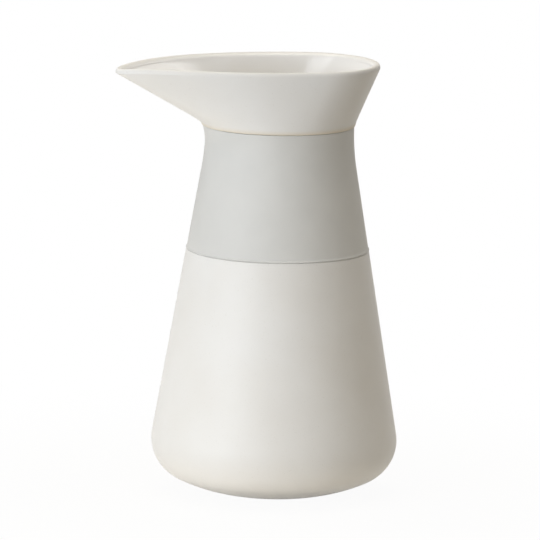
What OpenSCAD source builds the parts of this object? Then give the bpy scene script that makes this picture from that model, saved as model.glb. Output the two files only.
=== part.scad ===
// Hot milk jug: a slip-cast stoneware vessel whose collar is drawn out into a spout,
// a silicone grip sleeve let in flush round its neck, and a round drop-in lid.
// Millimetres, +Z up. The origin is the centre of the flat foot and the spout points along -X.

/* [Vessel] */
// Height of the rim above the table
overall_height = 175; // [165:1:190]
// Radius of the flat foot
foot_radius = 16.5; // [14:0.5:20]
// Radius at the widest level
belly_radius = 49.5; // [46:0.5:53]
// Height of the widest level
belly_height = 21.6; // [19:0.1:25]
// Radius of the round corner between underside and wall
corner_radius = 16.7; // [13:0.1:19]
// Radius of the shallow curve under the jug
underside_radius = 73; // [60:1:95]
// Radius of the outline at the waist, its narrowest level
waist_radius = 30; // [28:0.1:33]
// Distance of the waist below the upper edge of the sleeve
waist_drop = 2.9; // [1:0.1:5]
// Radius of the hollow curve that runs from the conical wall into the waist
waist_curve_radius = 87; // [65:1:110]
// Thickness of the stoneware wall
wall = 4; // [3.4:0.1:4.6]
// Length over which the inside of the wall steps in below the sleeve
inner_step_length = 10; // [6:1:16]
// Radius of the small rounds along the stoneware and sleeve edges
edge_round = 0.5; // [0.3:0.1:0.7]

/* [Collar and spout] */
// Height of the collar from the upper edge of the sleeve to the rim
collar_height = 25.1; // [22:0.1:30]
// Distance that the rim leans out past the neck at the back
rear_flare = 10; // [7:0.1:14]
// Distance that the rim leans out past the neck at the sides
side_flare = 0.3; // [0:0.1:3]
// Distance that the spout reaches out past the neck
spout_overhang = 37; // [30:0.2:44]
// Distance that the collar already reaches out towards the spout at its lower edge
collar_start = 1.8; // [1:0.1:2.4]
// Radius of the tip of the spout in plan
spout_tip_radius = 8; // [6:0.5:11]
// Distance that the rim sinks towards the tip of the spout
spout_dip = 2; // [0:0.1:4]
// Distance of the widest place of the rim from the axis, towards the spout
rim_widest_shift = 0.5; // [0:0.5:6]
// Thickness of the rounded lip
lip = 3.6; // [3:0.1:4.4]

/* [Grip sleeve] */
// Height of the sleeve
sleeve_height = 50.5; // [40:0.1:58]
// Thickness of the sleeve
sleeve_thickness = 2; // [1.5:0.1:2.6]
// Distance that the upper edge of the sleeve is drawn out towards the spout
sleeve_flare = 1.3; // [0.8:0.1:1.6]
// Height over which the sleeve is drawn out
sleeve_flare_height = 8; // [5:0.5:12]
// Clearance between the sleeve and the neck that it grips
sleeve_gap = 0.15; // [0.05:0.05:0.3]
// Width of the open seam above the sleeve
sleeve_seam = 0.3; // [0.1:0.05:0.6]

/* [Lid] */
// Thickness of the lid plate
lid_thickness = 3.2; // [2.6:0.1:4]
// Clearance round the lid plate in the mouth of the collar
lid_clearance = 0.6; // [0.4:0.1:1]
// Depth of the plug below the lid plate
plug_depth = 8; // [7:0.2:10]
// Thickness of the plug wall
plug_wall = 3; // [2.6:0.1:4]
// Clearance between the plug wall and the throat of the jug
plug_clearance = 1.2; // [1:0.1:1.6]
// Height of the seal ring
seal_height = 2.2; // [1.8:0.1:2.6]
// Distance of the seal groove below the lid plate
seal_drop = 0.9; // [0.6:0.1:1.4]
// Depth of the seal groove
groove_depth = 1.3; // [1:0.1:1.6]
// Clearance between the seal ring and its groove
seal_fit = 0.1; // [0.05:0.05:0.15]
// Clearance between the seal ring and the throat of the jug
seal_clearance = 0.3; // [0.2:0.05:0.4]
// Radius of the knob's head
knob_radius = 8.5; // [7:0.1:10]
// Height of the knob above the lid plate
knob_height = 11; // [9:0.2:13]
// Radius of the knob's stem in the lid plate
stem_radius = 3.4; // [3:0.1:4]
// Clearance between the stem and its hole
stem_fit = 0.1; // [0.05:0.05:0.2]
// Radius of the button that holds the knob under the lid plate
button_radius = 5.6; // [5:0.1:6.5]
// Thickness of that button
button_thickness = 2; // [1.5:0.1:2.4]

/* [Hidden] */
$fn = 96;

// Steps along one curve of a turned profile
arc_steps = 16;
// Steps along one small edge round
round_steps = 4;
// Steps round half of the rim: back arc, back flank, spout flank, tip
rim_steps = [14, 5, 18, 8];
// Steps up the drawn-out edge of the sleeve
flare_steps = 8;
// Rings up the outside of the collar, over the lip and down its inside
outside_rings = 8;
lip_rings = 6;
inside_rings = 6;
// Part of its half width that the rim's back arc has as radius
rear_arc_share = 0.97;
// Parts of the collar's height over which its outside and inside bend from the neck into the flare
outside_bend_share = 0.055;
inside_bend_share = 0.28;
// Power of the distance from the axis with which the rim sinks towards the tip
dip_power = 6;
// Parts of the knob's head that its neck, its foot and the height of its neck take up
knob_neck_share = 0.5;
knob_foot_share = 0.66;
knob_neck_height_share = 0.34;

// Levels along the axis
sleeve_top = overall_height - collar_height;
sleeve_bottom = sleeve_top - sleeve_height;
waist_height = sleeve_top - waist_drop;
collar_base = sleeve_top + 2 * edge_round;
lid_seat = sleeve_top + edge_round;
lid_top = lid_seat + lid_thickness;
groove_top = lid_seat - seal_drop;
lip_radius = lip / 2;
lip_level = overall_height - lip_radius;

// The conical wall runs tangent to the corner's circle and to the waist's circle
corner_centre = [belly_radius - corner_radius, belly_height];
waist_centre = [waist_radius + waist_curve_radius, waist_height];
between_centres = waist_centre - corner_centre;
wall_lean = atan2(between_centres.y, between_centres.x)
    - acos((corner_radius + waist_curve_radius) / norm(between_centres));

// The underside's circle starts at the edge of the foot and ends tangent to the corner's circle
foot_edge = [foot_radius, 0];
foot_to_corner = corner_centre - foot_edge;
foot_to_corner_length = norm(foot_to_corner);
underside_along = (pow(underside_radius, 2) - pow(underside_radius - corner_radius, 2)
    + pow(foot_to_corner_length, 2)) / (2 * foot_to_corner_length);
underside_across = sqrt(pow(underside_radius, 2) - pow(underside_along, 2));
underside_centre = foot_edge
    + (underside_along * foot_to_corner + underside_across * [-foot_to_corner.y, foot_to_corner.x])
    / foot_to_corner_length;
foot_angle = direction(foot_edge - underside_centre);
floor_level = wall - underside_centre.y;
floor_reach = sqrt(pow(underside_radius - wall, 2) - pow(floor_level, 2));
floor_angle = direction([floor_reach, floor_level]);
corner_angle = direction(corner_centre - underside_centre);

// Depth to which an added solid is sunk into the one that carries it
root_step = edge_round / 10;

// Radii of what is turned round the axis
recess_depth = sleeve_thickness + sleeve_gap;
neck_radius = outline_radius(sleeve_top, 0);
throat_radius = waist_radius - recess_depth - wall;
mouth_radius = neck_radius - wall;
lid_radius = mouth_radius - lid_clearance;
plug_radius = throat_radius - plug_clearance;
groove_radius = plug_radius - groove_depth;
seal_radius = throat_radius - seal_clearance;
hole_radius = stem_radius + stem_fit;

// The rim in plan: a back arc, two flank arcs that meet at the widest place, and the tip
spout_reach = neck_radius + spout_overhang;
rim_half_width = neck_radius + side_flare;
rear_arc_radius = rear_arc_share * rim_half_width;
rear_centre = [neck_radius + rear_flare - rear_arc_radius, 0];
tip_centre = [spout_tip_radius - spout_reach, 0];
rear_flank_radius = flank_radius(rear_centre.x + rim_widest_shift, rear_arc_radius);
spout_flank_radius = flank_radius(tip_centre.x + rim_widest_shift, spout_tip_radius);
rear_flank_centre = [-rim_widest_shift, rim_half_width - rear_flank_radius];
spout_flank_centre = [-rim_widest_shift, rim_half_width - spout_flank_radius];
rim_centres = [rear_centre, rear_flank_centre, spout_flank_centre, tip_centre];
rim_radii = [rear_arc_radius, rear_flank_radius, spout_flank_radius, spout_tip_radius];
rim_angles = [0, direction(rear_centre - rear_flank_centre), 90,
    direction(tip_centre - spout_flank_centre), 180];
rim_count = 2 * (rim_steps[0] + rim_steps[1] + rim_steps[2] + rim_steps[3]);

// Angle of a vector in the plane
function direction(v) = atan2(v.y, v.x);

// Radius of the flank that is tangent to an end arc at a given distance and level at the widest place
function flank_radius(distance, end_radius) =
    (pow(distance, 2) / (rim_half_width - end_radius) + end_radius + rim_half_width) / 2;

// Points along an arc of a profile
function arc(centre, radius, from, to, steps) = [
    for (i = [0 : steps])
        let (a = from + (to - from) * i / steps)
        centre + radius * [cos(a), sin(a)]
];

function reversed(points) = [for (i = [len(points) - 1 : -1 : 0]) points[i]];

// Level at which the conical wall passes into the waist's curve, for a surface set in by inset
function cone_end(inset) = waist_height - (waist_curve_radius + inset) * sin(wall_lean);

// Radius of the jug's outline above the belly, set in square to the surface by inset
function outline_radius(level, inset) = level > cone_end(inset)
    ? waist_centre.x - sqrt(pow(waist_curve_radius + inset, 2) - pow(level - waist_height, 2))
    : corner_centre.x
        + (corner_radius - inset - (level - corner_centre.y) * sin(wall_lean)) / cos(wall_lean);

// Upward tilt of the outline's surface at a level
function outline_tilt(level, inset) = level > cone_end(inset)
    ? asin((waist_height - level) / (waist_curve_radius + inset))
    : wall_lean;

// Outline from one level up to another
function outline(low, high, inset) =
    let (curve_start = max(low, cone_end(inset)))
    concat(low < curve_start ? [[outline_radius(low, inset), low]] : [], [
        for (i = [0 : arc_steps])
            let (level = curve_start + (high - curve_start) * i / arc_steps)
            [outline_radius(level, inset), level]
    ]);

// Outline of the waist's curve between two levels, without its ends
function waist_curve(low, high, inset) =
    let (
        curve_start = max(low, cone_end(inset)),
        first = low < curve_start ? 0 : 1
    )
    [
        for (i = [first : arc_steps - 1])
            let (level = curve_start + (high - curve_start) * i / arc_steps)
            [outline_radius(level, inset), level]
    ];

// Small round where the outline meets a flat ring below it or above it
function round_above(level) =
    let (middle = level + edge_round)
    arc([outline_radius(middle, edge_round), middle], edge_round,
        -90, outline_tilt(middle, edge_round), round_steps);
function round_below(level) =
    let (middle = level - edge_round)
    arc([outline_radius(middle, edge_round), middle], edge_round,
        outline_tilt(middle, edge_round), 90, round_steps);

// Half section of the vessel below the collar
function vessel_profile() = concat(
    [[0, 0]],
    arc(underside_centre, underside_radius, foot_angle, corner_angle, arc_steps),
    arc(corner_centre, corner_radius, corner_angle, wall_lean, arc_steps),
    round_below(sleeve_bottom),
    outline(sleeve_bottom, sleeve_top, recess_depth),
    arc([neck_radius - edge_round, lid_seat], edge_round, -90, 0, round_steps),
    [[neck_radius, collar_base], [mouth_radius, collar_base]],
    [[mouth_radius, lid_seat], [throat_radius, lid_seat]],
    reversed(outline(sleeve_bottom, waist_height, recess_depth + wall)),
    [[outline_radius(sleeve_bottom - inner_step_length, wall), sleeve_bottom - inner_step_length]],
    arc(corner_centre, corner_radius - wall, wall_lean, corner_angle, arc_steps),
    arc(underside_centre, underside_radius - wall, corner_angle, floor_angle, arc_steps),
    [[0, wall]]
);

// Growth of the collar from the neck's circle to the rim's outline, from 0 to 1
function growth(t, bend_share) =
    (sqrt(pow(t, 2) + pow(bend_share, 2)) - bend_share) / (sqrt(1 + pow(bend_share, 2)) - bend_share);

// One point of the collar: arc k of a ring grows from the neck's circle to the rim's arc,
// and its way up ends lower where the rim sinks towards the tip
function collar_point(k, a, base, rise_share, share, circle_radius, inset, lift) =
    let (
        rim_x = rim_centres[k].x + rim_radii[k] * cos(a),
        drop = spout_dip * pow(max(0, -rim_x) / spout_reach, dip_power),
        radius = (1 - share) * circle_radius + share * (rim_radii[k] - inset)
    )
    [
        share * rim_centres[k].x + radius * cos(a),
        share * rim_centres[k].y + radius * sin(a),
        base + rise_share * (lip_level - base - drop) + lift
    ];

// One ring of the collar, from the back round one side to the tip and back round the other side
function collar_ring(base, rise_share, share, circle_radius, inset, lift) =
    let (half = [
        for (k = [0 : 3], i = [0 : rim_steps[k] - 1])
            collar_point(k, rim_angles[k] + (rim_angles[k + 1] - rim_angles[k]) * i / rim_steps[k],
                base, rise_share, share, circle_radius, inset, lift)
    ])
    concat(half, [collar_point(3, 180, base, rise_share, share, circle_radius, inset, lift)],
        [for (i = [len(half) - 1 : -1 : 1]) [half[i].x, -half[i].y, half[i].z]]);

module jug_body() {
    start_share = collar_start / spout_overhang;
    outer_root = neck_radius - root_step;
    inner_root = mouth_radius + root_step;
    rings = concat(
        [collar_ring(lid_seat, 0, 0, outer_root, 0, -edge_round / 4)],
        [for (i = [0 : outside_rings]) let (t = pow(i / outside_rings, 2))
            collar_ring(lid_seat, t, start_share + (1 - start_share) * growth(t, outside_bend_share),
                outer_root, 0, 0)],
        [for (i = [1 : lip_rings - 1]) let (a = 180 * i / lip_rings)
            collar_ring(lid_seat, 1, 1, 0, lip_radius * (1 - cos(a)), lip_radius * sin(a))],
        [for (i = [inside_rings : -1 : 0]) let (t = i / inside_rings)
            collar_ring(collar_base, t, growth(t, inside_bend_share), inner_root, lip, 0)],
        [collar_ring(collar_base, 0, 0, inner_root, 0, -edge_round / 2)]
    );
    ring_count = len(rings);
    points = [for (ring = rings) each ring];
    faces = [
        for (i = [0 : ring_count - 1], j = [0 : rim_count - 1])
            let (up = (i + 1) % ring_count, next = (j + 1) % rim_count)
            [i * rim_count + j, up * rim_count + j, up * rim_count + next, i * rim_count + next]
    ];
    color("#efece6") {
        rotate_extrude() polygon(vessel_profile());
        polyhedron(points, faces, convexity = 6);
    }
}

module grip_sleeve() {
    top = sleeve_top - sleeve_seam;
    low_end = sleeve_bottom + edge_round * (1 + sin(outline_tilt(sleeve_bottom + edge_round, edge_round)));
    high_end = top - edge_round * (1 - sin(outline_tilt(top - edge_round, edge_round)));
    flare_bottom = top - sleeve_flare_height;
    flare_top = top - root_step - edge_round;
    flare_radius = outline_radius(flare_top, 0) - root_step;
    color("#c9c8c5") {
        rotate_extrude()
            polygon(concat(
                round_above(sleeve_bottom),
                waist_curve(low_end, high_end, 0),
                round_below(top),
                reversed(outline(sleeve_bottom, top, sleeve_thickness))
            ));
        difference() {
            translate([-sleeve_flare, 0, 0])
                rotate_extrude()
                    polygon(concat(
                        [[0, flare_bottom]],
                        [for (i = [0 : flare_steps - 1])
                            let (t = i / flare_steps, level = flare_bottom + t * (flare_top - flare_bottom))
                            [outline_radius(level, 0) - root_step - sleeve_flare * (1 - pow(t, 2)), level]],
                        arc([flare_radius - edge_round, flare_top], edge_round, 0, 90, round_steps),
                        [[0, flare_top + edge_round]]
                    ));
            rotate_extrude()
                polygon(concat(
                    [[0, flare_bottom - edge_round]],
                    [for (point = outline(flare_bottom - edge_round, top + edge_round, sleeve_thickness))
                        point + [root_step, 0]],
                    [[0, top + edge_round]]
                ));
        }
    }
}

module lid_plate() {
    groove_bottom = groove_top - seal_height - 2 * seal_fit;
    plug_bottom = lid_seat - plug_depth;
    color("#efece6")
        rotate_extrude()
            polygon(concat(
                [[hole_radius, lid_seat], [plug_radius - plug_wall, lid_seat]],
                [[plug_radius - plug_wall, plug_bottom]],
                arc([plug_radius - edge_round, plug_bottom + edge_round], edge_round, -90, 0, round_steps),
                [[plug_radius, groove_bottom], [groove_radius, groove_bottom]],
                [[groove_radius, groove_top], [plug_radius, groove_top]],
                [[plug_radius, lid_seat], [lid_radius, lid_seat]],
                arc([lid_radius - 2 * edge_round, lid_top - 2 * edge_round], 2 * edge_round,
                    0, 90, round_steps),
                [[hole_radius, lid_top]]
            ));
}

module lid_seal() {
    top = groove_top - seal_fit;
    middle = top - seal_height / 2;
    color("#b9b8b5")
        rotate_extrude()
            polygon(concat(
                [[groove_radius + seal_fit, top], [groove_radius + seal_fit, top - seal_height]],
                arc([seal_radius - seal_height / 2, middle], seal_height / 2, -90, 90, arc_steps)
            ));
}

module lid_knob() {
    neck = knob_neck_share * knob_radius;
    foot = knob_foot_share * knob_radius;
    neck_level = lid_top + knob_neck_height_share * knob_height;
    head_round = (lid_top + knob_height - neck_level) / 2;
    color("#b9b8b5")
        rotate_extrude()
            polygon(concat(
                [[0, lid_seat - button_thickness]],
                arc([button_radius - edge_round, lid_seat - button_thickness + edge_round], edge_round,
                    -90, 0, round_steps),
                [[button_radius, lid_seat], [stem_radius, lid_seat], [stem_radius, lid_top]],
                [[foot, lid_top], [neck, neck_level]],
                arc([knob_radius - head_round, neck_level + head_round], head_round, -90, 90, arc_steps),
                [[0, lid_top + knob_height]]
            ));
}

jug_body();
grip_sleeve();
lid_plate();
lid_seal();
lid_knob();
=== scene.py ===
import math

import bmesh
import bpy
from mathutils import Matrix, Vector


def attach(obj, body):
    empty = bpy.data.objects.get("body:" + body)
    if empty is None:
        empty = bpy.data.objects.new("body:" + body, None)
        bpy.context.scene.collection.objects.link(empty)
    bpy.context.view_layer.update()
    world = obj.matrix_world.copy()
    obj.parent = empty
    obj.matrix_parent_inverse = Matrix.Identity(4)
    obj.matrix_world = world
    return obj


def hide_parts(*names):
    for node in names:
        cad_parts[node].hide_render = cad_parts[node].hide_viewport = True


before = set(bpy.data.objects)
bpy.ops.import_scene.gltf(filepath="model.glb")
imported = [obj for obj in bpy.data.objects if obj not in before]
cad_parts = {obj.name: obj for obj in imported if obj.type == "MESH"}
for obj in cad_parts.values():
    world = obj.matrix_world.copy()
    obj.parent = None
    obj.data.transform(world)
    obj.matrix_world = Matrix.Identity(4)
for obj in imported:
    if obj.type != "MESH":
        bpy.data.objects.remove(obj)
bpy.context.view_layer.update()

# Vessel: one slip casting of white stoneware, with a rounded base, a conical wall, a neck, and a collar
# that is drawn out into the spout. It has a satin white glaze outside and a glassy one inside; the flat
# foot is wiped back to the warm bare clay. The collar's lower edge turns warmer and darker towards the
# seam, and the lowest few millimetres of the wall carry a painted warm shade that grows towards the foot.
rim_height = 0.175
foot_radius = 0.0165
belly_radius = 0.0495
belly_height = 0.0216
corner_radius = 0.0167
underside_radius = 0.073
waist_radius = 0.030
waist_drop = 0.0029
waist_curve_radius = 0.087
wall = 0.004
edge_round = 0.0005
collar_height = 0.0251
sleeve_height = 0.0505
sleeve_thickness = 0.002
sleeve_play = 0.00015
recess_depth = sleeve_thickness + sleeve_play
# Painted warm shade over the lowest few millimetres of the wall, as a share of the clay colour.
painted_foot_shade = 0.25
painted_shade_height = 0.008
foot_touch = 0.00001
weld_distance = 0.000001
turn_steps = 288
underside_steps = 16
corner_steps = 24
wall_steps = 16
edge_steps = 6
recess_steps = 8
quarter = math.pi / 2

sleeve_top = rim_height - collar_height
sleeve_bottom = sleeve_top - sleeve_height
waist_height = sleeve_top - waist_drop
lid_seat = sleeve_top + edge_round


def heading(v):
    """The angle at which a vector points."""
    return math.atan2(v.y, v.x)


def pointing(angle):
    """The direction at an angle."""
    return Vector((math.cos(angle), math.sin(angle)))


def steps_to(start, end, count):
    """Even steps that leave a start and arrive at an end."""
    return [start + (end - start) * i / count for i in range(1, count + 1)]


# The wall is tangent to the round corner of the base and to the hollow curve of the waist.
corner_centre = Vector((belly_radius - corner_radius, belly_height))
waist_centre = Vector((waist_radius + waist_curve_radius, waist_height))
between = waist_centre - corner_centre
wall_lean = heading(between) - math.acos((corner_radius + waist_curve_radius) / between.length)

# The shallow curve under the jug runs from the edge of the foot into the round corner.
foot_edge = Vector((foot_radius, 0))
foot_to_corner = corner_centre - foot_edge
span = foot_to_corner.length
along = (underside_radius**2 - (underside_radius - corner_radius)**2 + span**2) / (2 * span)
across = math.sqrt(underside_radius**2 - along**2)
inward = foot_to_corner.normalized()
underside_centre = foot_edge + along * inward + across * Vector((-inward.y, inward.x))
foot_angle = heading(foot_edge - underside_centre)
corner_angle = heading(corner_centre - underside_centre)


def outline_radius(level, inset):
    """Radius of the jug's outline above the belly, set in square to the surface."""
    if level > waist_height - (waist_curve_radius + inset) * math.sin(wall_lean):
        return waist_centre.x - math.sqrt((waist_curve_radius + inset)**2 - (level - waist_height)**2)
    reach = corner_radius - inset - (level - corner_centre.y) * math.sin(wall_lean)
    return corner_centre.x + reach / math.cos(wall_lean)


def outline_tilt(level):
    """Upward tilt of that outline."""
    if level > waist_height - waist_curve_radius * math.sin(wall_lean):
        return math.asin((waist_height - level) / waist_curve_radius)
    return wall_lean


def draw_line(bm, vert, radius, level):
    """One straight stroke of a half section."""
    end = bmesh.ops.extrude_vert_indiv(bm, verts=[vert])["verts"][0]
    end.co = (radius, 0, level)
    return end


def draw_arc(bm, vert, centre, angle, steps):
    """One stroke of a half section that swings about a centre."""
    swung = bmesh.ops.spin(bm, geom=[vert], cent=(centre[0], 0, centre[1]), axis=(0, -1, 0), angle=angle,
                           steps=steps, use_merge=False)
    return [g for g in swung["geom_last"] if isinstance(g, bmesh.types.BMVert)][0]


def turn_section(bm, steps):
    """Turns the half section once round the jug's axis, as on the wheel."""
    bmesh.ops.spin(bm, geom=bm.verts[:] + bm.edges[:], cent=(0, 0, 0), axis=(0, 0, 1), angle=2 * math.pi,
                   steps=steps, use_merge=True)
    bmesh.ops.remove_doubles(bm, verts=bm.verts[:], dist=weld_distance)


def finish_piece(bm, name, material, body, node, crease=35):
    """Puts a mesh in the place of its CAD node; edges that turn by more than the crease stay sharp."""
    bmesh.ops.recalc_face_normals(bm, faces=bm.faces[:])
    for face in bm.faces:
        face.smooth = True
    mesh = bpy.data.meshes.new(name)
    bm.to_mesh(mesh)
    bm.free()
    mesh.set_sharp_from_angle(angle=math.radians(crease))
    mesh.materials.append(material)
    piece = bpy.data.objects.new(name, mesh)
    bpy.context.scene.collection.objects.link(piece)
    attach(piece, body)
    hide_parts(node)


vessel = bmesh.new()
turned = vessel.verts.layers.float.new("turned")
gloss = vessel.verts.layers.float.new("gloss")
clay_and_shade = vessel.verts.layers.float.new("clay_and_shade")
stroke = vessel.verts.new((0, 0, 0))
stroke = draw_line(vessel, stroke, foot_radius / 2, 0)
stroke = draw_line(vessel, stroke, foot_radius, 0)
stroke = draw_arc(vessel, stroke, underside_centre, corner_angle - foot_angle, underside_steps)
stroke = draw_arc(vessel, stroke, corner_centre, wall_lean - corner_angle, corner_steps)
wall_start = stroke.co.xz
shoulder_level = sleeve_bottom - edge_round
shoulder_centre = Vector((outline_radius(shoulder_level, edge_round), shoulder_level))
wall_end = shoulder_centre + edge_round * pointing(wall_lean)
for share in steps_to(0, 1, wall_steps):
    stroke = draw_line(vessel, stroke, *wall_start.lerp(wall_end, share))
stroke = draw_arc(vessel, stroke, shoulder_centre, quarter - wall_lean, edge_steps)
for level in [sleeve_bottom] + steps_to(sleeve_bottom, sleeve_top, recess_steps):
    stroke = draw_line(vessel, stroke, outline_radius(level, recess_depth), level)
turn_section(vessel, turn_steps)
# The flat foot is bare clay. Above it, a share of the clay colour is painted shade, warm and darker towards
# the foot.
for vert in vessel.verts:
    painted_shade = painted_foot_shade * max(0, 1 - vert.co.z / painted_shade_height)
    vert[clay_and_shade] = 1 if vert.co.z < foot_touch else painted_shade

# The collar is raised ring by ring from the neck's circle to the rim, which in plan is a back arc,
# two flanks and the tip of the spout; every ring keeps the direction in which its points face.
rear_flare = 0.010
rear_roundness = 0.97
side_flare = 0.0003
spout_overhang = 0.037
collar_start = 0.0018
outside_bend = 0.055
inside_bend = 0.28
tip_radius = 0.008
spout_dip = 0.002
dip_sharpness = 6
widest_shift = 0.0005
lip = 0.0036
neck_radius = outline_radius(sleeve_top, 0)
mouth_radius = neck_radius - wall
throat_radius = waist_radius - recess_depth - wall
collar_base = sleeve_top + 2 * edge_round
lip_level = rim_height - lip / 2
spout_reach = neck_radius + spout_overhang
half_width = neck_radius + side_flare
rear_radius = rear_roundness * half_width
rear_centre = Vector((neck_radius + rear_flare - rear_radius, 0))
tip_centre = Vector((tip_radius - spout_reach, 0))


def flank_radius(distance, end_radius):
    """Radius of a flank that runs from the widest place into an end of the rim."""
    return (distance**2 / (half_width - end_radius) + end_radius + half_width) / 2


rear_flank = flank_radius(rear_centre.x + widest_shift, rear_radius)
spout_flank = flank_radius(tip_centre.x + widest_shift, tip_radius)
rear_flank_centre = Vector((-widest_shift, half_width - rear_flank))
spout_flank_centre = Vector((-widest_shift, half_width - spout_flank))
rim_arcs = [
    (heading(rear_centre - rear_flank_centre), rear_centre, rear_radius),
    (quarter, rear_flank_centre, rear_flank),
    (heading(tip_centre - spout_flank_centre), spout_flank_centre, spout_flank),
    (math.tau, tip_centre, tip_radius),
]


def collar_point(facing, base, rise, share, circle, inset, lift):
    """A point of the collar that faces a direction, on its way from the neck's circle to the rim."""
    centre, radius = next((c, r) for end, c, r in rim_arcs if abs(facing) <= end)
    forward = max(0, -(centre.x + radius * math.cos(facing)))
    drop = spout_dip * (forward / spout_reach)**dip_sharpness
    reach = (1 - share) * circle + share * (radius - inset)
    return Vector((share * centre.x + reach * math.cos(facing),
                   math.copysign(share * centre.y, centre.y * facing) + reach * math.sin(facing),
                   base + rise * (lip_level - base - drop) + lift))


def growth(t, bend):
    """A share that starts flat, bends and then grows evenly."""
    return (math.sqrt(t * t + bend * bend) - bend) / (math.sqrt(1 + bend * bend) - bend)


# Each ring is the place of its points, its gloss and how much of the warmer, darker clay colour
# shows in it.
start_share = collar_start / spout_overhang
wipe_height = 0.0015
wipe_depth = 0.0005
edge_tint_fade = 0.0022
edge_tint_falloff = 1.3
wipe_top = sleeve_top + wipe_height
wipe_rings = 10
collar_rings = 18
ring_crowding = 1.6


def collar_outside(level, cut):
    """One ring of the collar's outside, set in by a cut, the clay colour fading the higher it is."""
    t = max(0, level - lid_seat) / (lip_level - lid_seat)
    share = start_share + (1 - start_share) * growth(t, outside_bend)
    sunk = min(0, level - lid_seat)
    edge_tint = max(0, 1 - (level - sleeve_top) / edge_tint_fade)**edge_tint_falloff
    return lambda a: collar_point(a, lid_seat, t, share, neck_radius - cut, cut, sunk), 0, edge_tint


rings = []
for share in [0] + steps_to(0, 1, wipe_rings):
    angle = quarter * (1 - share)
    rings.append(collar_outside(sleeve_top + wipe_height * (1 - math.sin(angle)),
                                wipe_depth * (1 - math.cos(angle))))
for share in steps_to(0, 1, collar_rings):
    rings.append(collar_outside(wipe_top + (lip_level - wipe_top) * share**ring_crowding, 0))

# The rim is cut level with a knife while the clay is leather-hard, and then its two edges are sponged
# round. The glassy glaze begins at the inner edge.
outer_sponged = 0.0010
inner_sponged = 0.0020
edge_gloss = 0.8
gloss_rings = 3
sponge_rings = 8


def lip_ring(inset, lift, glossy):
    """One ring of the lip, set in from its outside and lifted from its middle."""
    return lambda a: collar_point(a, lid_seat, 1, 1, 0, inset, lift), glossy, 0


def collar_inside(t):
    """One ring of the collar's inside, a share of the way up to the lip."""
    share = growth(t, inside_bend)
    glossy = min(1, edge_gloss + (1 - t) * collar_rings / gloss_rings)
    return lambda a: collar_point(a, collar_base, t, share, mouth_radius, lip, 0), glossy, 0


for angle in steps_to(0, quarter, sponge_rings):
    rings.append(lip_ring(outer_sponged * (1 - math.cos(angle)), lip / 2 * math.sin(angle), 0))
rings.append(lip_ring((outer_sponged + lip - inner_sponged) / 2, lip / 2, 0))
for i in range(sponge_rings):
    angle = quarter * (1 - i / sponge_rings)
    rings.append(lip_ring(lip - inner_sponged * (1 - math.cos(angle)), lip / 2 * math.sin(angle),
                          edge_gloss * i / sponge_rings))
for t in [1] + steps_to(1, 0, collar_rings):
    rings.append(collar_inside(t))

# Inside the neck: the ledge that carries the lid, the throat, and the chamber down to the floor.
soft_edge = 0.0004
eased = 0.3 * soft_edge
inner_step_length = 0.010
throat_rings = 12
step_rings = 6
inner_corner_rings = 12
floor_rings = 6
last_floor_radius = 0.004
floor_drop = wall - underside_centre.y
floor_angle = math.atan2(floor_drop, math.sqrt((underside_radius - wall)**2 - floor_drop**2))


def circle_ring(radius, level):
    """One round ring of the glassy inside."""
    return lambda a: Vector((radius * math.cos(a), radius * math.sin(a), level)), 1, 0


inside = [(mouth_radius, lid_seat + soft_edge), (mouth_radius - eased, lid_seat + eased),
          (mouth_radius - soft_edge, lid_seat), (throat_radius + soft_edge, lid_seat),
          (throat_radius + eased, lid_seat - eased), (throat_radius, lid_seat - soft_edge)]
for level in [waist_height] + steps_to(waist_height, sleeve_bottom, throat_rings):
    inside.append((outline_radius(level, recess_depth + wall), level))
for share in steps_to(0, 1, step_rings):
    level = sleeve_bottom - inner_step_length * share
    behind_recess = outline_radius(level, recess_depth + wall)
    widened = (1 - math.cos(math.pi * share)) / 2
    inside.append((behind_recess + widened * (outline_radius(level, wall) - behind_recess), level))
for angle in [wall_lean] + steps_to(wall_lean, corner_angle, inner_corner_rings):
    inside.append(corner_centre + (corner_radius - wall) * pointing(angle))
for angle in steps_to(corner_angle, floor_angle, floor_rings):
    inside.append(underside_centre + (underside_radius - wall) * pointing(angle))
inside.append((last_floor_radius, wall))
rings += [circle_ring(radius, level) for radius, level in inside]

# Every ring is drawn on from the open edge of the one before, and the last one closes the floor.
open_edge = [e for e in vessel.edges if e.is_boundary]
for vert in {v for e in open_edge for v in e.verts}:
    vert[turned] = math.atan2(vert.co.y, vert.co.x)
for place, glossy, edge_tint in rings:
    drawn = bmesh.ops.extrude_edge_only(vessel, edges=open_edge)["geom"]
    for vert in [g for g in drawn if isinstance(g, bmesh.types.BMVert)]:
        vert.co = place(vert[turned])
        vert[gloss] = glossy
        vert[clay_and_shade] = edge_tint
    open_edge = [g for g in drawn if isinstance(g, bmesh.types.BMEdge) and g.is_boundary]
bmesh.ops.pointmerge(vessel, verts=list({v for e in open_edge for v in e.verts}), merge_co=(0, 0, wall))
vessel.verts.layers.float.remove(turned)


def node_at(tree, kind, x, y, values=(), **settings):
    """One shader node, with the values of its sockets and its other settings."""
    node = tree.nodes.new(kind)
    node.location = (x, y)
    for setting, value in settings.items():
        setattr(node, setting, value)
    for socket, value in dict(values).items():
        node.inputs[socket].default_value = value
    return node


def new_finish(name, values):
    """A material whose surface has the given plain values."""
    finish = bpy.data.materials.new(name)
    finish.use_nodes = True
    skin = finish.node_tree.nodes["Principled BSDF"]
    for socket, value in values.items():
        skin.inputs[socket].default_value = value
    return finish, finish.node_tree, skin


def cloudiness(tree, x, y, scale, detail):
    """A soft random pattern that is fixed to the piece."""
    place = node_at(tree, "ShaderNodeTexCoord", x - 300, y)
    noise = node_at(tree, "ShaderNodeTexNoise", x, y, {"Scale": scale, "Detail": detail})
    tree.links.new(place.outputs["Object"], noise.inputs["Vector"])
    return noise.outputs["Fac"]


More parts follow.
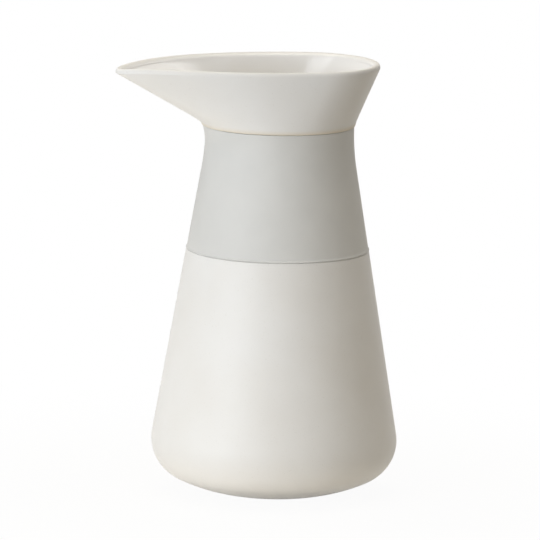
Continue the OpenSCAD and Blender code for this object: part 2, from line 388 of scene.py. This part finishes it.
def drift(tree, x, y, pattern, dark, light):
    """A gentle drift between two tones of one colour."""
    ramp = node_at(tree, "ShaderNodeValToRGB", x, y)
    low, high = ramp.color_ramp.elements
    low.position = 0.3
    low.color = dark
    high.position = 0.7
    high.color = light
    tree.links.new(pattern, ramp.inputs["Fac"])
    return ramp.outputs["Color"]


def spread(tree, x, y, pattern, values):
    """A pattern brought to another range."""
    ranged = node_at(tree, "ShaderNodeMapRange", x, y, values)
    tree.links.new(pattern, ranged.inputs["Value"])
    return ranged.outputs["Result"]


def cover_colour(tree, x, y, mask, below, colour):
    """A plain colour laid over another; a Mix node's colours are its sockets 6 and 7, and 2 going out."""
    mix = node_at(tree, "ShaderNodeMix", x, y, {7: colour}, data_type="RGBA")
    tree.links.new(mask, mix.inputs[0])
    tree.links.new(below, mix.inputs[6])
    return mix.outputs[2]


def cover_number(tree, x, y, mask, below, number):
    """A plain number laid over another; a Mix node's numbers are its sockets 2 and 3, and 0 going out."""
    mix = node_at(tree, "ShaderNodeMix", x, y, {3: number}, data_type="FLOAT")
    tree.links.new(mask, mix.inputs[0])
    tree.links.new(below, mix.inputs[2])
    return mix.outputs[0]


def relief(tree, skin, x, y, height, strength, distance):
    """A fine unevenness of the surface."""
    bump = node_at(tree, "ShaderNodeBump", x, y, {"Strength": strength, "Distance": distance})
    tree.links.new(height, bump.inputs["Height"])
    tree.links.new(bump.outputs["Normal"], skin.inputs["Normal"])


glaze, tree, skin = new_finish("satin_white_glaze", {
    "IOR": 1.5, "Specular IOR Level": 0.3, "Coat IOR": 1.8, "Coat Roughness": 0.03})
gloss_zone = node_at(tree, "ShaderNodeAttribute", -1100, -150, attribute_name="gloss").outputs["Fac"]
clay_and_shade_zone = node_at(tree, "ShaderNodeAttribute", -600, -150, attribute_name="clay_and_shade").outputs["Fac"]

# Colour: a warm white that drifts a little in tone, with the finest iron specks of the clay in it, a
# whiter glaze inside, and the warm clay colour on the bare foot, towards the collar's lower edge and, as
# painted warm shade, over the lowest few millimetres of the wall.
cloud = cloudiness(tree, -1100, 300, 28, 3)
colour = drift(tree, -850, 300, cloud, (0.835, 0.815, 0.775, 1), (0.87, 0.858, 0.83, 1))
specks = spread(tree, -850, 50, cloudiness(tree, -1100, 50, 1500, 1),
                {"From Min": 0.66, "From Max": 0.8, "To Max": 0.16})
colour = cover_colour(tree, -600, 200, specks, colour, (0.58, 0.52, 0.43, 1))
colour = cover_colour(tree, -400, 200, gloss_zone, colour, (0.955, 0.945, 0.925, 1))
# The clay colour covers the bare foot, the collar's lower edge and, as painted warm shade, the wall just
# above the foot.
colour = cover_colour(tree, -200, 200, clay_and_shade_zone, colour, (0.79, 0.715, 0.59, 1))
tree.links.new(colour, skin.inputs["Base Color"])

# Gloss: satin outside, glassy inside from the lip's inner edge on, and dry where the clay colour shows.
roughness = spread(tree, -850, -350, cloud, {"To Min": 0.42, "To Max": 0.52})
roughness = cover_number(tree, -400, -350, gloss_zone, roughness, 0.3)
roughness = cover_number(tree, -200, -350, clay_and_shade_zone, roughness, 0.8)
tree.links.new(roughness, skin.inputs["Roughness"])
tree.links.new(gloss_zone, skin.inputs["Coat Weight"])

# Relief: the faint unevenness of a dipped glaze.
relief(tree, skin, -200, -600, cloudiness(tree, -1100, -600, 420, 2), 0.08, 0.0003)

finish_piece(vessel, "vessel", glaze, "jug", "jug_body", crease=20)

# Grip sleeve: a band of light grey silicone, moulded to the neck's shape and stretched over it into a
# recess, so that it lies flush, with a slight swell at its lower edge. Its upper edge is drawn out a
# little under the spout.
sleeve_seam = 0.0001
sleeve_sunk = 0.0001
low_proud = 0.00018
low_band = 0.0010
low_round = 0.00022
high_band = 0.0012
high_round = 0.00025
sleeve_flare = 0.0013
sleeve_flare_height = 0.008
flare_depth = 0.75 * sleeve_thickness
band_steps = 8
sleeve_steps = 22
flare_steps = 10
back_steps = 10

# The lower edge turns from its underside up to the slope of the swell.
sleeve_start = sleeve_bottom + sleeve_seam
sleeve_end = sleeve_top - sleeve_seam
low_rise = sleeve_sunk + low_proud
low_middle = sleeve_start + low_round
low_tilt = outline_tilt(low_middle) + math.atan(2 * low_rise / low_band)
sleeve_low = low_middle + low_round * math.sin(low_tilt)
low_centre = outline_radius(sleeve_low, -low_proud) - low_round * math.cos(low_tilt)
high_middle = sleeve_end - high_round
high_tilt = outline_tilt(high_middle)
sleeve_high = high_middle + high_round * math.sin(high_tilt)
high_centre = outline_radius(high_middle, high_round) - 2 * sleeve_sunk


def sleeve_sink(level):
    """How far the sleeve lies under the jug's outline: it swells at its lower edge and eases in above."""
    low = max(0, 1 - (level - sleeve_low) / low_band)
    high = max(0, 1 - (sleeve_high - level) / high_band)
    return sleeve_sunk * (1 + high**2) - low_rise * low**2


levels = steps_to(sleeve_low, sleeve_low + low_band, band_steps)
levels += steps_to(levels[-1], sleeve_end - sleeve_flare_height, sleeve_steps)
levels += steps_to(levels[-1], sleeve_high - high_band, flare_steps)
levels += steps_to(levels[-1], sleeve_high, band_steps)
sleeve = bmesh.new()
stroke = sleeve.verts.new((low_centre, 0, sleeve_start))
stroke = draw_arc(sleeve, stroke, (low_centre, low_middle), quarter + low_tilt, edge_steps)
for level in levels:
    stroke = draw_line(sleeve, stroke, outline_radius(level, 0) - sleeve_sink(level), level)
stroke = draw_arc(sleeve, stroke, (high_centre, high_middle), quarter - high_tilt, edge_steps)
for level in [sleeve_end] + steps_to(sleeve_end, sleeve_start, back_steps):
    stroke = draw_line(sleeve, stroke, outline_radius(level, sleeve_thickness), level)
draw_line(sleeve, stroke, low_centre, sleeve_start)
turn_section(sleeve, turn_steps)
for vert in sleeve.verts:
    rise = (vert.co.z - sleeve_end + sleeve_flare_height) / sleeve_flare_height
    radius = vert.co.xy.length
    if rise > 0 and vert.co.x < 0 and radius > outline_radius(vert.co.z, flare_depth):
        vert.co.xy *= 1 + sleeve_flare * min(1, rise)**2 * (-vert.co.x / radius) / radius


def matt_silicone(name, dark, light):
    """Silicone with a soft bloom on it and the fine grain of its mould."""
    silicone, tree, skin = new_finish(name, {
        "IOR": 1.5, "Specular IOR Level": 0.6, "Sheen Weight": 0.15, "Sheen Roughness": 0.5})
    bloom = cloudiness(tree, -1100, 200, 45, 4)
    tree.links.new(drift(tree, -850, 300, bloom, dark, light), skin.inputs["Base Color"])
    matt = spread(tree, -850, 0, bloom, {"To Min": 0.58, "To Max": 0.72})
    tree.links.new(matt, skin.inputs["Roughness"])
    relief(tree, skin, -400, -300, cloudiness(tree, -1100, -300, 2400, 2), 0.12, 0.0001)
    return silicone


light_silicone = matt_silicone("soft_grey_silicone", (0.68, 0.675, 0.647, 1), (0.725, 0.72, 0.692, 1))
finish_piece(sleeve, "grip_band", light_silicone, "jug", "grip_sleeve")

# Lid plate: a round stoneware disc that drops on to the ledge at the foot of the collar, with a hollow
# plug below it. A groove round the plug holds the seal, and the knob's stem goes through a hole in the
# middle.
lid_thickness = 0.0032
lid_play = 0.0006
lid_gloss = 0.3
plug_depth = 0.008
plug_wall = 0.003
plug_play = 0.0012
groove_depth = 0.0013
groove_drop = 0.0009
seal_height = 0.0022
seal_fit = 0.0001
stem_radius = 0.0034
stem_play = 0.0001
lid_turn_steps = 192
lid_edge_steps = 5
disc_foot_steps = 4
disc_edge_steps = 8
disc_steps = 8

hole_radius = stem_radius + stem_play
lid_top = lid_seat + lid_thickness
lid_radius = mouth_radius - lid_play
disc_round = 2 * edge_round
disc_foot_round = edge_round / 2
disc_middle = lid_radius - disc_round
plug_radius = throat_radius - plug_play
plug_inner = plug_radius - plug_wall
plug_bottom = lid_seat - plug_depth
plug_low = plug_bottom + edge_round
groove_radius = plug_radius - groove_depth
groove_top = lid_seat - groove_drop
groove_bottom = groove_top - seal_height - 2 * seal_fit

plate = bmesh.new()
plate_gloss = plate.verts.layers.float.new("gloss")
stroke = plate.verts.new((hole_radius, 0, lid_seat))
stroke = draw_line(plate, stroke, plug_inner - edge_round, lid_seat)
stroke = draw_arc(plate, stroke, (plug_inner - edge_round, lid_seat - edge_round), -quarter, lid_edge_steps)
stroke = draw_line(plate, stroke, plug_inner, plug_low)
stroke = draw_arc(plate, stroke, (plug_inner + edge_round, plug_low), quarter, lid_edge_steps)
stroke = draw_line(plate, stroke, plug_radius - edge_round, plug_bottom)
stroke = draw_arc(plate, stroke, (plug_radius - edge_round, plug_low), quarter, lid_edge_steps)
for radius, level in [(plug_radius, groove_bottom), (groove_radius, groove_bottom),
                      (groove_radius, groove_top), (plug_radius, groove_top),
                      (plug_radius, lid_seat), (lid_radius - disc_foot_round, lid_seat)]:
    stroke = draw_line(plate, stroke, radius, level)
stroke = draw_arc(plate, stroke, (lid_radius - disc_foot_round, lid_seat + disc_foot_round), quarter,
                  disc_foot_steps)
stroke = draw_line(plate, stroke, lid_radius, lid_top - disc_round)
stroke = draw_arc(plate, stroke, (disc_middle, lid_top - disc_round), quarter, disc_edge_steps)
for radius in steps_to(disc_middle, hole_radius, disc_steps):
    stroke = draw_line(plate, stroke, radius, lid_top)
draw_line(plate, stroke, hole_radius, lid_seat)
turn_section(plate, lid_turn_steps)
for vert in plate.verts:
    vert[plate_gloss] = lid_gloss
finish_piece(plate, "lid_disc", glaze, "lid", "lid_plate")

# Seal ring: moulded silicone in the plug's groove, flat where it sits in the groove and round where it
# meets the throat. It is a shade darker than the sleeve.
seal_play = 0.0003
seal_steps = 16
seal_radius = throat_radius - seal_play
seal_round = seal_height / 2
seal_top = groove_top - seal_fit
seal_bottom = seal_top - seal_height
seal_inner = groove_radius + seal_fit
seal = bmesh.new()
stroke = seal.verts.new((seal_inner, 0, seal_top))
stroke = draw_line(seal, stroke, seal_inner, seal_bottom)
stroke = draw_line(seal, stroke, seal_radius - seal_round, seal_bottom)
stroke = draw_arc(seal, stroke, (seal_radius - seal_round, seal_bottom + seal_round), math.pi, seal_steps)
draw_line(seal, stroke, seal_inner, seal_top)
turn_section(seal, lid_turn_steps)
dark_silicone = matt_silicone("mid_grey_silicone", (0.58, 0.58, 0.565, 1), (0.62, 0.62, 0.605, 1))
finish_piece(seal, "plug_seal", dark_silicone, "lid", "lid_seal")

# Pull knob: silicone, pressed through the lid from above. It has a round head on a waisted neck, a stem
# in the hole, and a button below the disc that snaps open and holds it.
knob_radius = 0.0085
knob_height = 0.011
knob_foot = 0.66 * knob_radius
knob_waist = 0.5 * knob_radius
neck_height = 0.34 * knob_height
button_radius = 0.0056
button_thickness = 0.002
neck_steps = 8
head_steps = 20
knob_turn_steps = 96

knob_top = lid_top + knob_height
head_round = (knob_height - neck_height) / 2
head_middle = knob_radius - head_round
button_bottom = lid_seat - button_thickness
knob = bmesh.new()
stroke = knob.verts.new((0, 0, button_bottom))
stroke = draw_line(knob, stroke, button_radius - edge_round, button_bottom)
stroke = draw_arc(knob, stroke, (button_radius - edge_round, button_bottom + edge_round), quarter,
                  lid_edge_steps)
for radius, level in [(button_radius, lid_seat), (stem_radius, lid_seat), (stem_radius, lid_top),
                      (knob_foot, lid_top)]:
    stroke = draw_line(knob, stroke, radius, level)
for share in steps_to(0, 1, neck_steps):
    narrowed = 1 - (1 - share)**2
    stroke = draw_line(knob, stroke, knob_foot + (knob_waist - knob_foot) * narrowed,
                       lid_top + neck_height * share)
stroke = draw_line(knob, stroke, head_middle, lid_top + neck_height)
stroke = draw_arc(knob, stroke, (head_middle, knob_top - head_round), math.pi, head_steps)
stroke = draw_line(knob, stroke, head_middle / 2, knob_top)
draw_line(knob, stroke, 0, knob_top)
turn_section(knob, knob_turn_steps)
finish_piece(knob, "pull_knob", dark_silicone, "lid", "lid_knob")

# Floor: a round matt table top in warm white, which shows the jug's soft shadow near its foot and goes
# over into the plain white of the room a hand's width away.
floor_radius = 0.6
floor_segments = 64
floor_shape = bmesh.new()
bmesh.ops.create_circle(floor_shape, cap_ends=True, radius=floor_radius, segments=floor_segments)
floor_mesh = bpy.data.meshes.new("floor")
floor_shape.to_mesh(floor_mesh)
floor_shape.free()
floor = bpy.data.objects.new("floor", floor_mesh)
bpy.context.scene.collection.objects.link(floor)


def seen_rays(tree):
    """1 for the rays of the camera and for what it sees in or through a piece."""
    path = node_at(tree, "ShaderNodeLightPath", -900, 300)
    seen = path.outputs["Is Camera Ray"]
    for ray in ["Is Glossy Ray", "Is Transmission Ray"]:
        either = node_at(tree, "ShaderNodeMath", -650, 300, operation="MAXIMUM")
        tree.links.new(seen, either.inputs[0])
        tree.links.new(path.outputs[ray], either.inputs[1])
        seen = either.outputs[0]
    return seen


def show_white(tree, out, share, plain, white):
    """Lets a share of the rays see white in place of the plain surface."""
    mixed = node_at(tree, "ShaderNodeMixShader", 200, 0)
    tree.links.new(share, mixed.inputs["Fac"])
    tree.links.new(plain.outputs[0], mixed.inputs[1])
    tree.links.new(white.outputs[0], mixed.inputs[2])
    tree.links.new(mixed.outputs[0], out.inputs["Surface"])


paper = bpy.data.materials.new("white_paper")
paper.use_nodes = True
tree = paper.node_tree
tree.nodes.clear()
place = node_at(tree, "ShaderNodeTexCoord", -900, -200)
distance = node_at(tree, "ShaderNodeVectorMath", -700, -200, operation="LENGTH")
tree.links.new(place.outputs["Object"], distance.inputs[0])
whiter = node_at(tree, "ShaderNodeMapRange", -500, -200,
                 {"From Min": 0.04, "From Max": 0.25, "To Min": 0.95}, interpolation_type="SMOOTHSTEP")
tree.links.new(distance.outputs["Value"], whiter.inputs["Value"])
part = node_at(tree, "ShaderNodeMath", -300, 0, operation="MULTIPLY")
tree.links.new(seen_rays(tree), part.inputs[0])
tree.links.new(whiter.outputs["Result"], part.inputs[1])
show_white(tree, node_at(tree, "ShaderNodeOutputMaterial", 400, 0), part.outputs[0],
           node_at(tree, "ShaderNodeBsdfDiffuse", 0, 0, {"Color": (0.965, 0.92, 0.84, 1)}),
           node_at(tree, "ShaderNodeEmission", 0, -200, {"Color": (1, 1, 1, 1)}))
floor_mesh.materials.append(paper)

# Studio light: a low, wide, cool soft box to the left of the camera, a weaker one above it, a wide warm
# one overhead, a small card on the right and a box for the back, which doesn't show as a reflection. A
# white sheet on the right shows only as a reflection.
target = Vector((0, 0, rim_height / 2))
camera_turn = math.radians(9.564)
camera_rise = math.radians(9.662)
camera_roll = math.radians(1.086)


def around(azimuth, elevation, distance):
    """A place round the jug; azimuth is counted from the camera to its right, in degrees."""
    a = math.radians(azimuth) - camera_turn
    e = math.radians(elevation)
    return target + distance * Vector((math.sin(a) * math.cos(e), -math.cos(a) * math.cos(e), math.sin(e)))


def soft_box(name, place, size, power, colour):
    """A rectangular lamp that faces the jug, with its power in watts."""
    lamp = bpy.data.lights.new(name, "AREA")
    lamp.shape = "RECTANGLE"
    lamp.size, lamp.size_y = size
    lamp.energy = power
    lamp.color = colour
    box = bpy.data.objects.new(name, lamp)
    bpy.context.scene.collection.objects.link(box)
    facing = (target - place).to_track_quat("-Z", "Y").to_matrix().to_4x4()
    box.matrix_world = Matrix.Translation(place) @ facing
    return box


soft_box("key_box", around(-45, 6, 1.5), (1.1, 0.32), 13.8, (0.87, 0.925, 1))
soft_box("window_box", around(-28, 20, 1.5), (1.0, 0.5), 1.55, (0.95, 0.97, 1))
soft_box("overhead_box", around(-20, 88, 1.3), (1.4, 1.4), 13.8, (1, 0.94, 0.84))
soft_box("side_box", around(87, 29, 1.5), (0.45, 0.3), 0.75, (1, 1, 1))
back = soft_box("back_box", around(-135, 35, 1.5), (0.9, 0.6), 3.2, (1, 0.97, 0.92))
back.visible_glossy = False
sheet = soft_box("sheet_box", around(84, 36, 1.5), (1.0, 0.8), 3.0, (1, 1, 1))
sheet.visible_diffuse = False

# The room is white where the camera sees it, itself or as a reflection, and gives no other light.
world = bpy.data.worlds.new("white_room")
bpy.context.scene.world = world
world.use_nodes = True
tree = world.node_tree
tree.nodes.clear()
show_white(tree, node_at(tree, "ShaderNodeOutputWorld", 400, 0), seen_rays(tree),
           node_at(tree, "ShaderNodeBackground", 0, 0, {"Strength": 0}),
           node_at(tree, "ShaderNodeBackground", 0, -200, {"Color": (1, 1, 1, 1)}))
bpy.context.scene.view_settings.view_transform = "Standard"

# Camera: a long lens a little above the rim, turned a little to the spout's side and rolled by about a
# degree, as the photograph was taken.
camera_distance = 4.0
frame_width = 0.2174
sensor_width = 36
offset_left = 0.0028
offset_up = 0.00298
away = Vector((math.sin(camera_turn) * math.cos(camera_rise), math.cos(camera_turn) * math.cos(camera_rise),
               -math.sin(camera_rise)))
level_right = Vector((math.cos(camera_turn), -math.sin(camera_turn), 0))
level_up = level_right.cross(away)
right = math.cos(camera_roll) * level_right + math.sin(camera_roll) * level_up
up = math.cos(camera_roll) * level_up - math.sin(camera_roll) * level_right
lens = bpy.data.cameras.new("camera")
lens.sensor_width = sensor_width
lens.lens = sensor_width * camera_distance / frame_width
camera = bpy.data.objects.new("camera", lens)
bpy.context.scene.collection.objects.link(camera)
camera_place = target - camera_distance * away - offset_left * right + offset_up * up
camera_axes = Matrix((right, up, -away)).transposed().to_4x4()
camera.matrix_world = Matrix.Translation(camera_place) @ camera_axes
bpy.context.scene.camera = camera
